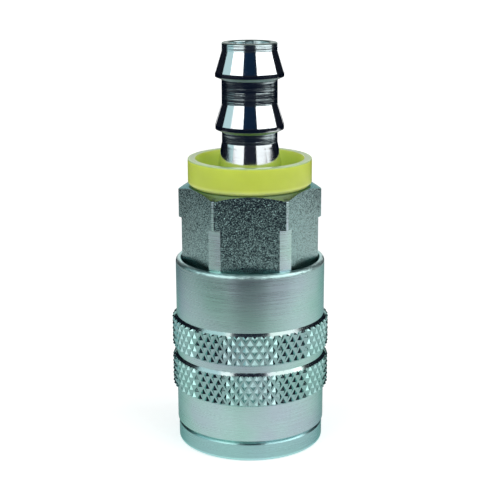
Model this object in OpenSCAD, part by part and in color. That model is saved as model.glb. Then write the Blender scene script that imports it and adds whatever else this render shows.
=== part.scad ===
// Quick coupler for an air hose: the socket half, with a push-on hose stem.
// The coupler stands on its mouth. +Z runs from the mouth up to the tip of the
// hose stem, and the origin is the centre of the mouth's rim on the ground.
// The hexagon has flats towards +Y and -Y. All lengths are in millimetres.

/* [Hose adapter] */
// Width of the hexagon across its flats
hex_af = 20.64; // [19.5:0.01:22]
// How much of the bar's corners is turned away on the hexagon
corner_cut = 0.11; // [0.05:0.01:0.3]
// Height of the hexagon above its step, up to its top face
hex_h = 5.43; // [4.5:0.01:7]
// Slope of the bevel on the hexagon's corners, in degrees
hex_bevel_angle = 27; // [15:1:40]
// Depth of the step below the hexagon
skirt_step = 0.46; // [0.3:0.01:0.7]
// Length of the turned skirt that shows above the sleeve
skirt_shown = 6.74; // [5.5:0.01:8]
// Length of the turned skirt inside the sleeve
skirt_hidden = 5.7; // [5:0.1:6.5]
// Bevel of the skirt's lower edge
skirt_bevel = 0.4; // [0.2:0.05:0.6]
// Height of the valve chamber inside the adapter
adapter_chamber_h = 4.2; // [3.5:0.1:5]

/* [Hose stem] */
// Radius of the stem between its barbs
neck_r = 4.54; // [4.3:0.01:4.8]
// Radius of the first two barbs
barb_r = 5.6; // [5.4:0.01:6]
// Radius of the third barb, inside the collar
foot_r = 5.2; // [4.9:0.01:5.4]
// Drop from the tip to the first barb's edge
first_barb = 5.46; // [5:0.01:6]
// Distance between the first and the second barb
barb_pitch = 8.47; // [7.5:0.01:9.5]
// Distance between the second and the third barb
foot_pitch = 6.29; // [5.5:0.01:7]
// Distance from the third barb down to the collar's floor
foot_gap = 1.66; // [1:0.01:3]
// Length of each barb's cone
barb_cone = 3.45; // [3:0.01:3.8]
// Length of each barb's straight edge
barb_land = 0.73; // [0.4:0.01:0.9]
// Length of the slope behind each barb's edge
barb_back = 0.45; // [0.2:0.01:0.6]
// Radius of the air bore
stem_bore_r = 3.4; // [3:0.01:3.6]
// Bevel of the stem's tip, inside and outside
tip_bevel = 0.18; // [0.1:0.01:0.4]

/* [Hose collar] */
// How far the collar stands back from the hexagon's flats
collar_inset = 0.12; // [0:0.01:0.8]
// Height of the collar
collar_h = 4.47; // [3.8:0.01:5.5]
// Wall of the collar
collar_wall = 1.26; // [0.9:0.01:1.6]
// Thickness of the collar's floor
collar_floor = 1.3; // [0.9:0.01:1.8]
// Slope under the collar's edge
collar_bevel = 0.55; // [0.2:0.01:0.8]
// Clearance between the collar and the stem
collar_clearance = 0.05; // [0.02:0.01:0.1]

/* [Release sleeve] */
// Wall of the sleeve round its spring
sleeve_wall = 0.9; // [0.7:0.05:1.2]
// Clearance between the sleeve and the adapter's skirt
skirt_clearance = 0.2; // [0.1:0.01:0.3]
// Length of the sleeve
sleeve_len = 28.5; // [27:0.1:31]
// Rounding of the sleeve's upper lip
lip_round = 0.7; // [0.3:0.05:0.8]
// Bevel of the sleeve's lower edge
foot_bevel = 0.3; // [0.1:0.05:0.5]
// How far the sleeve slides back to let the plug go
sleeve_travel = 4; // [3.4:0.1:5]
// Height of the sleeve's inner shoulder above its lower end
shoulder_h = 10.8; // [10:0.1:12]
// Clearance between the sleeve's shoulder and the barrel
slide_clearance = 0.05; // [0.03:0.01:0.1]

/* [Grip bands] */
// How far the knurl's points stand out of the sleeve
grip_rise = 0.78; // [0.6:0.01:1.1]
// Depth of the knurl's grooves
knurl_depth = 0.46; // [0.2:0.01:0.55]
// Points round each band
knurl_count = 56; // [40:1:70]
// Slant of the grooves to the axis, in degrees
knurl_angle = 36; // [28:1:45]
// Height of each band with its bevels
band_h = 5.6; // [5:0.05:6.5]
// Height of the lower band's foot above the sleeve's lower end
band_start = 6.35; // [5.5:0.05:7]
// Plain strip between the two bands
band_gap = 1.35; // [0.8:0.01:1.8]
// Height of the bevel below each band
band_foot_bevel = 0.45; // [0.1:0.01:0.8]
// Height of the bevel above the lower band
lower_band_bevel = 0.83; // [0.3:0.01:1.2]
// Height of the bevel above the upper band
upper_band_bevel = 0.75; // [0.2:0.01:1.2]

/* [Socket body] */
// How much narrower the flange is than the sleeve
flange_step = 0.18; // [0:0.01:0.5]
// Height of the flange at the mouth
flange_h = 3.2; // [2.6:0.1:4.2]
// Rounding of the flange's lower edge
flange_round = 0.25; // [0.1:0.05:0.9]
// Bevel of the flange's upper edge
flange_bevel = 0.45; // [0.1:0.05:0.8]
// Radius of the socket for the plug's collar
socket_r = 6; // [5.9:0.01:6.1]
// Depth of the socket from the mouth
socket_end = 13; // [12.6:0.1:13.6]
// How much wider the lead-in at the mouth is than the socket
mouth_step = 0.2; // [0.1:0.01:0.3]
// Depth of the lead-in at the mouth
mouth_depth = 5.4; // [4.8:0.1:5.8]
// Bevel of the mouth's edge
mouth_bevel = 0.7; // [0.3:0.05:1]
// Radius of the bore for the plug's tip
tip_bore_r = 4.1; // [4:0.01:4.3]
// Length of the bore for the plug's tip, with its lead-in cone
tip_bore_len = 7.6; // [7.3:0.1:8.5]
// How much narrower the rear thread is than the barrel
thread_step = 0.6; // [0.5:0.05:0.8]
// Length of the rear thread
thread_len = 7; // [6:0.1:8]
// Clearance of the rear thread in the adapter
thread_clearance = 0.04; // [0.02:0.01:0.1]
// Wall of the body round its valve chamber
chamber_wall = 1.4; // [1.2:0.05:1.6]

/* [Locking balls] */
// Radius of a ball
ball_r = 1.5875; // [1.5:0.0125:1.65]
// Height of the balls above the mouth
ball_z = 8.6; // [8.2:0.1:9]
// How far a locked ball stands into the socket
ball_grip = 1.06; // [0.95:0.01:1.15]
// Running clearance round the balls
ball_clearance = 0.03; // [0.02:0.01:0.05]

/* [Springs] */
// Wire radius of the sleeve's spring
sleeve_wire_r = 0.45; // [0.35:0.01:0.5]
// Turns of the sleeve's spring
sleeve_turns = 4.5; // [3.5:0.5:5]
// Thickness of the washer between the spring and the sleeve
washer_h = 0.8; // [0.5:0.1:1.2]
// Wire radius of the valve's spring
valve_wire_r = 0.35; // [0.25:0.01:0.45]
// Turns of the valve's spring
valve_turns = 7; // [5:0.5:8]
// Mean radius of the valve's spring
valve_coil_r = 4.6; // [4.5:0.05:5]

/* [Valve and seals] */
// How far the valve opens
valve_travel = 3.5; // [2.5:0.1:4]
// Clearance between the valve's nose and the plug seal
nose_clearance = 0.1; // [0.05:0.01:0.2]
// Wall of the valve's nose
nose_wall = 0.95; // [0.7:0.01:1.2]
// Length of the valve's nose below its seat
nose_len = 5.2; // [4.6:0.1:5.4]
// Width of the four windows in the valve's nose
window_w = 2.4; // [1.8:0.1:3]
// Thickness of the valve's head
head_h = 1.2; // [0.8:0.1:1.6]
// Radius of the spring guide behind the valve's head
guide_r = 3.2; // [2.8:0.01:3.6]
// Length of the spring guide behind the valve's head
guide_len = 3.2; // [2:0.1:4]
// Thickness of the valve's seal
valve_seal_h = 1.2; // [0.8:0.1:1.5]
// Width of the raised rim that the valve closes on
seat_rim_w = 0.8; // [0.5:0.05:1]
// Height of the raised rim that the valve closes on
seat_rim_h = 0.6; // [0.3:0.05:1]
// Radius of the plug seal's section
ring_r = 0.9; // [0.8:0.01:0.95]
// How far the plug seal stands into its bore
ring_grip = 0.15; // [0.08:0.01:0.2]
// Room for the plug seal in its groove
ring_room = 0.05; // [0.02:0.01:0.1]
// Thickness of the gasket under the adapter
gasket_h = 0.8; // [0.5:0.1:1.5]

/* [Hidden] */

$fn = 96;
// How far one shape passes the face of another that it cuts or joins
eps = 0.01;
ball_count = 6;

// Levels of the outside, from the mouth up
sleeve_z = flange_h;
sleeve_top = sleeve_z + sleeve_len;
skirt_z = sleeve_top - skirt_hidden;
step_z = sleeve_top + skirt_shown;
hex_top = step_z + hex_h;
collar_top = hex_top + collar_h;
third_barb_z = hex_top + collar_floor + foot_gap;
second_barb_z = third_barb_z + foot_pitch;
first_barb_z = second_barb_z + barb_pitch;
tip_z = first_barb_z + first_barb;
lower_band_z = sleeve_z + band_start;
upper_band_z = lower_band_z + band_h + band_gap;

// Levels of the inside, from the mouth up
shoulder_z = sleeve_z + shoulder_h;
washer_top = shoulder_z + washer_h;
seat_z = socket_end + tip_bore_len;
head_z = seat_z + valve_seal_h;
head_top = head_z + head_h;
body_end = skirt_z + thread_len;
gasket_top = body_end + gasket_h;
chamber_end = gasket_top + adapter_chamber_h;

// Radii of the hexagon, the skirt and the sleeve round it
hex_corner_r = hex_af / 2 / cos(30);
corner_r = hex_corner_r - corner_cut;
skirt_r = corner_r - skirt_step;
pocket_r = skirt_r + skirt_clearance;
sleeve_r = pocket_r + sleeve_wall;
flange_r = sleeve_r - flange_step;
collar_r = hex_af / 2 - collar_inset;
tip_edge = min(tip_bevel, 0.45 * (neck_r - stem_bore_r));

// The cam in the sleeve pushes the balls in, and its slope lets them out
// evenly over the sleeve's whole travel
ball_locked_r = socket_r - ball_grip + ball_r;
cam_r = ball_locked_r + ball_r + ball_clearance;
cam_slope = ball_grip / sleeve_travel;
cam_z = ball_z + ball_r * tan(atan(cam_slope) / 2);
relief_r = cam_r + ball_grip + 0.12;
relief_z = cam_z - (relief_r - cam_r) / cam_slope;

// Radii of the body
barrel_r = cam_r - slide_clearance;
thread_r = barrel_r - thread_step;
chamber_r = thread_r - chamber_wall;
mouth_r = socket_r + mouth_step;
// A ball's hole narrows by this angle, so that the ball can't fall in
ball_seat_angle = 15;
ball_hole_r = ball_r / cos(ball_seat_angle) + ball_clearance;

// The plug seal's ring and groove
ring_centre_r = tip_bore_r - ring_grip + ring_r;
ring_z = socket_end + socket_r - tip_bore_r + 2 * ring_r + 0.2;
groove_r = ring_centre_r + ring_r + ring_room;
groove_h = 2 * ring_r + 4 * ring_room;

// The valve
nose_r = tip_bore_r - ring_grip - nose_clearance;
nose_neck_r = nose_r - 0.4;
seal_r = tip_bore_r + seat_rim_w + 0.4;
// The windows clear the seat when the valve is open
window_top = seat_z - 0.3;
window_h = valve_travel - 0.5;

// A ring of small pyramids: grooves that cross at a slant leave a point
// between every two crossings. Both ends slope down into the sleeve's wall,
// and the disc that the ring stands on lies inside the sleeve.
module knurl_band(foot_z, head_bevel) {
    columns = 2 * knurl_count;
    point_r = sleeve_r + grip_rise;
    groove_r = point_r - knurl_depth;
    end_r = sleeve_r - 3 * eps;
    first_z = foot_z + band_foot_bevel;
    last_z = foot_z + band_h - head_bevel;
    half_pitch = PI * point_r / knurl_count / tan(knurl_angle);
    steps = max(2, round((last_z - first_z) / half_pitch));
    rows = steps + 3;
    row_z = concat([foot_z],
                   [for (k = [0:steps]) first_z + (last_z - first_z) * k / steps],
                   [foot_z + band_h]);
    points = [for (k = [0:rows - 1]) for (i = [0:columns - 1])
        let (inner = k > 0 && k < rows - 1)
        let (r = !inner ? end_r : (i + k) % 2 == 0 ? point_r : groove_r)
        let (a = 360 * i / columns)
        [r * cos(a), r * sin(a), row_z[k]]];
    sides = [for (k = [0:rows - 2]) for (i = [0:columns - 1])
        let (j = (i + 1) % columns)
        let (a = k * columns + i)
        let (b = k * columns + j)
        let (c = a + columns)
        let (d = b + columns)
        each ((i + k) % 2 == 0 ? [[a, c, b], [b, c, d]] : [[a, d, b], [a, c, d]])];
    foot = [for (i = [0:columns - 1]) i];
    head = [for (i = [0:columns - 1]) rows * columns - 1 - i];
    polyhedron(points, concat([foot], sides, [head]), convexity = 4);
}

// A wire spring with its end turns closed, between two flat seats
module coil_spring(low, high, coil_r, wire_r, turns, sides) {
    per_turn = 20;
    rings = round(turns * per_turn);
    closed = 2.1 * wire_r;
    start = low + wire_r + eps;
    rise = high - low - 2 * (wire_r + eps) - 2 * closed;
    function height(t) =
        start + closed * min(t, 1)
        + rise * max(0, min(1, (t - 1) / (turns - 2)))
        + closed * max(0, t - (turns - 1));
    points = [for (k = [0:rings]) for (s = [0:sides - 1])
        let (t = turns * k / rings)
        let (r = coil_r + wire_r * cos(360 * s / sides))
        [r * cos(360 * t), r * sin(360 * t), height(t) + wire_r * sin(360 * s / sides)]];
    skin = [for (k = [0:rings - 1]) for (s = [0:sides - 1])
        let (n = (s + 1) % sides)
        let (a = k * sides + s)
        let (b = k * sides + n)
        each [[a, b, a + sides], [b, b + sides, a + sides]]];
    first = [for (s = [0:sides - 1]) sides - 1 - s];
    last = [for (s = [0:sides - 1]) rings * sides + s];
    polyhedron(points, concat([first], skin, [last]), convexity = 8);
}

// The hole of one ball: straight outside, narrowing into the socket
module ball_hole(angle) {
    narrow = ball_locked_r - socket_r + 1;
    rotate([0, 0, angle])
        translate([ball_locked_r, 0, ball_z])
            rotate([0, 90, 0]) {
                cylinder(r = ball_hole_r, h = barrel_r);
                translate([0, 0, -narrow])
                    cylinder(r1 = ball_hole_r - narrow * tan(ball_seat_angle), r2 = ball_hole_r,
                             h = narrow + eps / 10);
            }
}

// The turned outside of the socket body: flange, barrel and rear thread
module body_outline() {
    polygon([[0, 0], [flange_r - flange_round, 0], [flange_r, flange_round],
             [flange_r, flange_h - flange_bevel], [flange_r - flange_bevel, flange_h],
             [barrel_r, flange_h], [barrel_r, skirt_z],
             [thread_r, skirt_z], [thread_r, body_end], [0, body_end]]);
    translate([flange_r - flange_round, flange_round])
        circle(r = flange_round);
}

// The bores of the socket body, from the mouth up to the valve chamber
module body_hollow() {
    chamber_z = seat_z - seat_rim_h;
    polygon([[0, -1], [mouth_r + mouth_bevel + 1, -1], [mouth_r, mouth_bevel],
             [mouth_r, mouth_depth - mouth_step], [socket_r, mouth_depth],
             [socket_r, socket_end], [tip_bore_r, socket_end + socket_r - tip_bore_r],
             [tip_bore_r, ring_z - groove_h / 2], [groove_r, ring_z - groove_h / 2],
             [groove_r, ring_z + groove_h / 2], [tip_bore_r, ring_z + groove_h / 2],
             [tip_bore_r, seat_z], [tip_bore_r + seat_rim_w, seat_z],
             [tip_bore_r + seat_rim_w, chamber_z], [chamber_r, chamber_z],
             [chamber_r, body_end + 1], [0, body_end + 1]]);
}

module socket_body() {
    color("#a9b1b2")
    difference() {
        rotate_extrude() body_outline();
        rotate_extrude() body_hollow();
        for (i = [0:ball_count - 1]) ball_hole(360 * i / ball_count);
    }
}

// The plain outside of the sleeve, with its rounded upper lip
module sleeve_outline() {
    lip = min(lip_round, sleeve_wall - 0.1);
    polygon([[0, sleeve_z], [sleeve_r - foot_bevel, sleeve_z], [sleeve_r, sleeve_z + foot_bevel],
             [sleeve_r, sleeve_top - lip], [sleeve_r - lip, sleeve_top], [0, sleeve_top]]);
    translate([sleeve_r - lip, sleeve_top - lip])
        circle(r = lip);
}

// The bores of the sleeve: ball relief, cam slope, sliding land, spring pocket
module sleeve_hollow() {
    mouth_z = max(relief_z, sleeve_z);
    mouth_cam_r = min(relief_r, cam_r + (cam_z - mouth_z) * cam_slope);
    polygon([[0, sleeve_z - 1], [mouth_cam_r, sleeve_z - 1], [mouth_cam_r, mouth_z],
             [cam_r, cam_z], [cam_r, shoulder_z], [pocket_r, shoulder_z],
             [pocket_r, sleeve_top + 1], [0, sleeve_top + 1]]);
}

module release_sleeve() {
    color("#b4bcbd")
    difference() {
        union() {
            rotate_extrude() sleeve_outline();
            knurl_band(lower_band_z, lower_band_bevel);
            knurl_band(upper_band_z, upper_band_bevel);
        }
        rotate_extrude() sleeve_hollow();
    }
}

// The lathe cuts of the hexagon bar: skirt, step and bevelled corners
module adapter_outline() {
    bevel_h = (corner_r - hex_af / 2) * tan(hex_bevel_angle);
    bevel_top = hex_top - eps;
    polygon([[0, skirt_z], [skirt_r - skirt_bevel, skirt_z], [skirt_r, skirt_z + skirt_bevel],
             [skirt_r, step_z], [corner_r, step_z],
             [corner_r, bevel_top - bevel_h], [hex_af / 2, bevel_top],
             [hex_af / 2 - eps / tan(hex_bevel_angle), hex_top], [0, hex_top]]);
}

// One barb, from the slope behind its edge up to the top of its cone
function barb(edge_z, edge_r) = [
    [neck_r, edge_z - barb_back], [edge_r, edge_z], [edge_r, edge_z + barb_land],
    [neck_r, edge_z + barb_land + barb_cone]];

// The turned hose stem: three barbs and a bevelled tip
module stem_outline() {
    polygon(concat([[0, hex_top - 1], [neck_r, hex_top - 1]],
                   barb(third_barb_z, foot_r), barb(second_barb_z, barb_r), barb(first_barb_z, barb_r),
                   [[neck_r, tip_z - tip_edge], [neck_r - tip_edge, tip_z], [0, tip_z]]));
}

// The bores of the adapter: thread for the body, valve chamber, air bore
module adapter_hollow() {
    inner_r = thread_r + thread_clearance;
    polygon([[0, skirt_z - 1], [inner_r, skirt_z - 1], [inner_r, gasket_top],
             [chamber_r, gasket_top], [chamber_r, chamber_end],
             [stem_bore_r, chamber_end], [stem_bore_r, tip_z - tip_edge],
             [stem_bore_r + tip_edge + 1, tip_z + 1], [0, tip_z + 1]]);
}

module hose_adapter() {
    color("#8f989b")
    difference() {
        union() {
            intersection() {
                translate([0, 0, skirt_z])
                    linear_extrude(hex_top - skirt_z) circle(r = hex_corner_r, $fn = 6);
                rotate_extrude() adapter_outline();
            }
            rotate_extrude() stem_outline();
        }
        rotate_extrude() adapter_hollow();
    }
}

// A translucent cup round the stem's foot, that hides the hose's cut end
module hose_collar() {
    floor_z = hex_top + collar_floor;
    color("#b8cc50")
    rotate_extrude()
        polygon([[neck_r + collar_clearance, hex_top], [collar_r - collar_bevel, hex_top],
                 [collar_r, hex_top + collar_bevel], [collar_r, collar_top],
                 [collar_r - collar_wall, collar_top], [collar_r - collar_wall, floor_z],
                 [neck_r + collar_clearance, floor_z]]);
}

// A flat ring between two radii
module flat_ring(low, high, inner, outer) {
    rotate_extrude()
        translate([inner, low]) square([outer - inner, high - low]);
}

module spring_washer() {
    color("#c2c6c8")
    flat_ring(shoulder_z, washer_top, cam_r + 0.05, pocket_r - 0.2);
}

module sleeve_spring() {
    color("#8a9094")
    coil_spring(washer_top, skirt_z, (barrel_r + pocket_r) / 2, sleeve_wire_r, sleeve_turns, 8);
}

module adapter_gasket() {
    color("#2b2b2b")
    flat_ring(body_end, gasket_top, chamber_r + 0.1, thread_r);
}

module plug_seal() {
    color("#1f1f1f")
    rotate_extrude()
        translate([ring_centre_r, ring_z]) circle(r = ring_r, $fn = 48);
}

// The valve's body: a nose with four windows, a head, and a spring guide
module valve_poppet() {
    nose_z = seat_z - nose_len;
    window_z = window_top - window_h;
    guide_top = head_top + guide_len;
    guide_bevel = 0.5;
    color("#c9a24a")
    difference() {
        rotate_extrude()
            polygon([[nose_r - nose_wall, nose_z], [nose_r, nose_z], [nose_r, seat_z],
                     [nose_neck_r, seat_z], [nose_neck_r, head_z], [seal_r, head_z],
                     [seal_r, head_top], [guide_r, head_top], [guide_r, guide_top - guide_bevel],
                     [guide_r - guide_bevel, guide_top], [0, guide_top],
                     [0, window_top], [nose_r - nose_wall, window_top]]);
        for (a = [0, 90])
            rotate([0, 0, a])
                translate([-nose_r - 1, -window_w / 2, window_z])
                    cube([2 * nose_r + 2, window_w, window_h]);
    }
}

module valve_seal() {
    color("#262626")
    flat_ring(seat_z, head_z, nose_neck_r, seal_r);
}

module valve_spring() {
    color("#9aa0a3")
    coil_spring(head_top, chamber_end, valve_coil_r, valve_wire_r, valve_turns, 6);
}

// One ball, held in by the sleeve's cam
module locking_ball(index) {
    color("#d4d8da")
    rotate([0, 0, 360 * (index - 1) / ball_count])
        translate([ball_locked_r, 0, ball_z])
            sphere(r = ball_r);
}

socket_body();
release_sleeve();
hose_adapter();
hose_collar();
spring_washer();
sleeve_spring();
adapter_gasket();
plug_seal();
valve_poppet();
valve_seal();
valve_spring();
for (i = [1:ball_count])
    locking_ball(i);
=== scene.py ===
"""An air hose quick coupler with a push-on hose stem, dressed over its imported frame.

The coupler stands on its mouth at the origin. +Z runs up to the tip of the hose stem,
and the hexagon has flats towards +Y and -Y. Sizes in the classes are in millimetres,
and every mesh is built in metres.
"""

import logging
import math
from collections.abc import Callable, Sequence
from dataclasses import dataclass
from enum import Enum
from functools import cache
from typing import Any

import bmesh
import bpy
from mathutils import Matrix, Vector


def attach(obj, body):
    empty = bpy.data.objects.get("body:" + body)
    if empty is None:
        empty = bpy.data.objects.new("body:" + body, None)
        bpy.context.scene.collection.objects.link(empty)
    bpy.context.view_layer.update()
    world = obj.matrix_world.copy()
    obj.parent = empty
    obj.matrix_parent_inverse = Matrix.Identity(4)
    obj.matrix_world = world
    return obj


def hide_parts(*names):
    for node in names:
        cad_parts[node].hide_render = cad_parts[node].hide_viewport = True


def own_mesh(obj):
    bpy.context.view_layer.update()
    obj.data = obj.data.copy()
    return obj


MM = 0.001
# Facets round every turned face, fine enough that no outline shows a corner
TURNED_STEPS = 256
# Facets round the turned pieces that are held inside
HIDDEN_STEPS = 128
# Facets of a rounded edge, per right angle
FILLET_STEPS = 8
# Edges sharper than this stay sharp in the shading
SHARP_ANGLE = math.radians(12.5)
# Vertices closer than this, in metres, are one
MERGE_GAP = 1e-7
# How far cutters run past what they cut, in millimetres
OVERRUN = 0.5
# Surfaces that stand this much apart, in millimetres, aren't the same one
SKIN = 0.01
# Z parts of a face's normal: under LEVEL it stands upright, over SLANTED it is part of a
# slope, and over STEEP it looks mostly up
LEVEL = 0.01
SLANTED = 0.3
STEEP = 0.5
# A face square on to a direction has a normal that matches it this well
SQUARE_ON = 0.9999

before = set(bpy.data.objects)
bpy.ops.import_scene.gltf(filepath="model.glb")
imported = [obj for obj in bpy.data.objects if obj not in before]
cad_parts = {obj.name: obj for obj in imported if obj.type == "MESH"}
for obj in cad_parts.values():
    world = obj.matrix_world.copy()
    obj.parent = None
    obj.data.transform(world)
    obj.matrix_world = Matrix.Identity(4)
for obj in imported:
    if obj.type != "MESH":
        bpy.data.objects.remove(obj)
log = logging.getLogger("coupler")


class Slot(Enum):
    """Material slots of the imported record."""

    BODY = "plated_body"
    SLEEVE = "plated_sleeve"
    ADAPTER = "plated_adapter"
    COLLAR = "collar_plastic"
    STEEL = "plain_steel"
    WIRE = "spring_wire"
    RUBBER = "seal_rubber"
    BRASS = "valve_brass"
    BALL = "ball_steel"


def linear(hex_colour: str, alpha: float = 1.0) -> tuple[float, float, float, float]:
    """Turns an sRGB hex colour into linear values.

    Args:
        hex_colour: Six hex digits after a hash sign.
        alpha: Opacity to add as the fourth value.

    Returns:
        Red, green, blue and alpha, ready for a socket.
    """
    parts = [int(hex_colour[i:i + 2], 16) / 255 for i in (1, 3, 5)]
    red, green, blue = (c / 12.92 if c <= 0.04045 else ((c + 0.055) / 1.055) ** 2.4 for c in parts)
    return red, green, blue, alpha


def per_mm(size: float) -> float:
    """Gives the scale at which a pattern's features are this many millimetres across."""
    return 1 / (size * MM)


def fill(tree: bpy.types.NodeTree, node: bpy.types.Node, inputs: dict[Any, Any]) -> None:
    """Fills a node's inputs, or links them.

    Args:
        tree: Node tree that holds the node.
        node: The node.
        inputs: Input names or numbers, each with a value or the socket that feeds it.
    """
    for name, value in inputs.items():
        if isinstance(value, bpy.types.NodeSocket):
            tree.links.new(value, node.inputs[name])
        else:
            node.inputs[name].default_value = value


def add_node(tree: bpy.types.NodeTree, kind: str, inputs: dict[Any, Any] | None = None,
             **settings: Any) -> bpy.types.Node:
    """Adds a node with its settings, and fills or links its inputs.

    Args:
        tree: Node tree that takes the node.
        kind: Blender's type of the node.
        inputs: Input names or numbers, each with a value or the socket that feeds it.
        **settings: Properties of the node.

    Returns:
        The new node.
    """
    node = tree.nodes.new(kind)
    for name, value in settings.items():
        setattr(node, name, value)
    fill(tree, node, inputs or {})
    return node


def blank_material(name: str) -> tuple[bpy.types.Material, bpy.types.NodeTree, bpy.types.Node]:
    """Makes a material that holds only its shader and output.

    Args:
        name: The material's name.

    Returns:
        The material, its node tree and its Principled shader.
    """
    material = bpy.data.materials.new(name)
    material.use_nodes = True
    tree = material.node_tree
    tree.nodes.clear()
    shader = add_node(tree, "ShaderNodeBsdfPrincipled")
    add_node(tree, "ShaderNodeOutputMaterial", {"Surface": shader.outputs["BSDF"]})
    return material, tree, shader


def object_space(tree: bpy.types.NodeTree) -> bpy.types.NodeSocket:
    """Gives the socket of a point's place on the object, in metres."""
    return add_node(tree, "ShaderNodeTexCoord").outputs["Object"]


def length_of(tree: bpy.types.NodeTree, vector: bpy.types.NodeSocket) -> bpy.types.NodeSocket:
    """Gives the socket of a vector's length."""
    return add_node(tree, "ShaderNodeVectorMath", {0: vector}, operation="LENGTH").outputs["Value"]


def clouds(tree: bpy.types.NodeTree, size: float, detail: float = 2.0,
           roughness: float = 0.5) -> bpy.types.NodeSocket:
    """Adds a cloudy pattern.

    Args:
        tree: Node tree that takes the nodes.
        size: Size of the clouds in millimetres.
        detail: How many finer layers lie over them.
        roughness: How much those show.

    Returns:
        The socket of the pattern, from 0 to 1.
    """
    return add_node(tree, "ShaderNodeTexNoise", {
        "Vector": object_space(tree), "Scale": per_mm(size), "Detail": detail,
        "Roughness": roughness}).outputs["Fac"]


def feed_marks(tree: bpy.types.NodeTree, pitch: float, length: float, detail: float,
               roughness: float) -> bpy.types.NodeSocket:
    """Adds a lathe tool's rings round the axis, as drawn-out clouds.

    Args:
        tree: Node tree that takes the nodes.
        pitch: Distance between the rings in millimetres.
        length: How far a ring runs before it changes, in millimetres.
        detail: How many finer layers lie over them.
        roughness: How much those show.

    Returns:
        The socket of the pattern, from 0 to 1.
    """
    rings = add_node(tree, "ShaderNodeMapping", {
        "Vector": object_space(tree),
        "Scale": (per_mm(length), per_mm(length), per_mm(pitch))})
    return add_node(tree, "ShaderNodeTexNoise", {
        "Vector": rings.outputs["Vector"], "Scale": 1.0, "Detail": detail,
        "Roughness": roughness}).outputs["Fac"]


def remapped(tree: bpy.types.NodeTree, value: bpy.types.NodeSocket, start: float, end: float,
             low: float = 0.0, high: float = 1.0) -> bpy.types.NodeSocket:
    """Turns one range of values into another, and holds what lies outside.

    Args:
        tree: Node tree that takes the node.
        value: Socket of the value.
        start: Value that becomes low.
        end: Value that becomes high.
        low: The new range's start.
        high: The new range's end.

    Returns:
        The socket of the new value.
    """
    return add_node(tree, "ShaderNodeMapRange", {
        "Value": value, "From Min": start, "From Max": end, "To Min": low,
        "To Max": high}).outputs["Result"]


def mixed(tree: bpy.types.NodeTree, share: Any, first: Any, second: Any,
          blend: str = "MIX") -> bpy.types.NodeSocket:
    """Mixes two colours, each a value or a socket.

    Args:
        tree: Node tree that takes the node.
        share: How much of the second colour is mixed in.
        first: The first colour.
        second: The second colour.
        blend: Blender's name for the way of mixing.

    Returns:
        The socket of the new colour.
    """
    return add_node(tree, "ShaderNodeMix", {0: share, 6: first, 7: second},
                    data_type="RGBA", blend_type=blend).outputs[2]


def embossed(tree: bpy.types.NodeTree, pattern: bpy.types.NodeSocket, depth: float,
             strength: float) -> bpy.types.NodeSocket:
    """Raises a pattern as a fine relief.

    Args:
        tree: Node tree that takes the node.
        pattern: Socket of the pattern.
        depth: Its depth in millimetres.
        strength: How much of it shows.

    Returns:
        The socket of the relief's normals.
    """
    return add_node(tree, "ShaderNodeBump", {
        "Height": pattern, "Distance": depth * MM, "Strength": strength}).outputs["Normal"]


@dataclass(frozen=True)
class PlatedSteel:
    """Turned steel under bright zinc, passivated: pale grey with a faint green to violet cast.

    The tool leaves rings finer than a hair, which spread the light along the axis, so the
    eye gets upright soft bands and a silky grain that runs round the part. The real rings
    are about 0.05 mm apart, and are drawn three times as coarse to show at all.
    """

    name: str
    colour: str = "#BFE0DD"
    cast_cool: str = "#B2DFD3"
    cast_warm: str = "#C2D6DE"
    edge: str = "#A8C8C4"
    roughness: float = 0.28
    spread: float = 0.6
    ring_pitch: float = 0.16
    ring_length: float = 14.0
    ring_height: float = 0.012
    cast_size: float = 9.0
    streaks: tuple[float, float] = (0.93, 1.05)
    swing: tuple[float, float] = (-0.06, 0.08)

    def material(self) -> bpy.types.Material:
        """Builds the zinc's nodes and gives the new material."""
        material, tree, shader = blank_material(self.name)
        grain = feed_marks(tree, self.ring_pitch, self.ring_length, detail=3.0, roughness=0.6)
        cast = add_node(tree, "ShaderNodeValToRGB", {"Fac": clouds(tree, self.cast_size)})
        stops = cast.color_ramp.elements
        stops[0].position, stops[1].position = 0.32, 0.68
        stops[0].color, stops[1].color = linear(self.cast_cool), linear(self.cast_warm)
        stops.new(0.5).color = linear(self.colour)
        streaks = remapped(tree, grain, 0.3, 0.7, *self.streaks)
        glossiest, dullest = self.swing
        # The rings run round the Z axis, so the gloss is drawn out along it
        tangent = add_node(tree, "ShaderNodeTangent", direction_type="RADIAL", axis="Z")
        fill(tree, shader, {
            "Metallic": 1.0, "Anisotropic": self.spread, "Anisotropic Rotation": 0.25,
            "Specular Tint": linear(self.edge), "Tangent": tangent.outputs["Tangent"],
            "Base Color": mixed(tree, 1.0, cast.outputs["Color"], streaks, "MULTIPLY"),
            "Roughness": remapped(tree, grain, 0.25, 0.75, self.roughness + glossiest,
                                  self.roughness + dullest),
            "Normal": embossed(tree, grain, self.ring_height, strength=0.35)})
        return material


@dataclass(frozen=True)
class BrightSteel:
    """Steel turned with a fine feed and burnished: a dark mirror with thin rings.

    It shows the lamps as hard-edged white bands, and its rings break the edges of those
    bands into steps.
    """

    name: str
    colour: str = "#DCE2E4"
    roughness: float = 0.07
    ring_pitch: float = 0.5
    ring_length: float = 5.0
    ring_height: float = 0.002
    wander: float = 0.15

    def material(self) -> bpy.types.Material:
        """Builds the burnished steel's nodes and gives the new material."""
        material, tree, shader = blank_material(self.name)
        grain = feed_marks(tree, self.ring_pitch, self.ring_length, detail=2.0, roughness=0.55)
        fill(tree, shader, {
            "Metallic": 1.0, "Base Color": linear(self.colour),
            "Roughness": remapped(tree, grain, 0.35, 0.7, self.roughness,
                                  self.roughness + self.wander),
            "Normal": embossed(tree, grain, self.ring_height, strength=1.0)})
        return material


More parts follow.
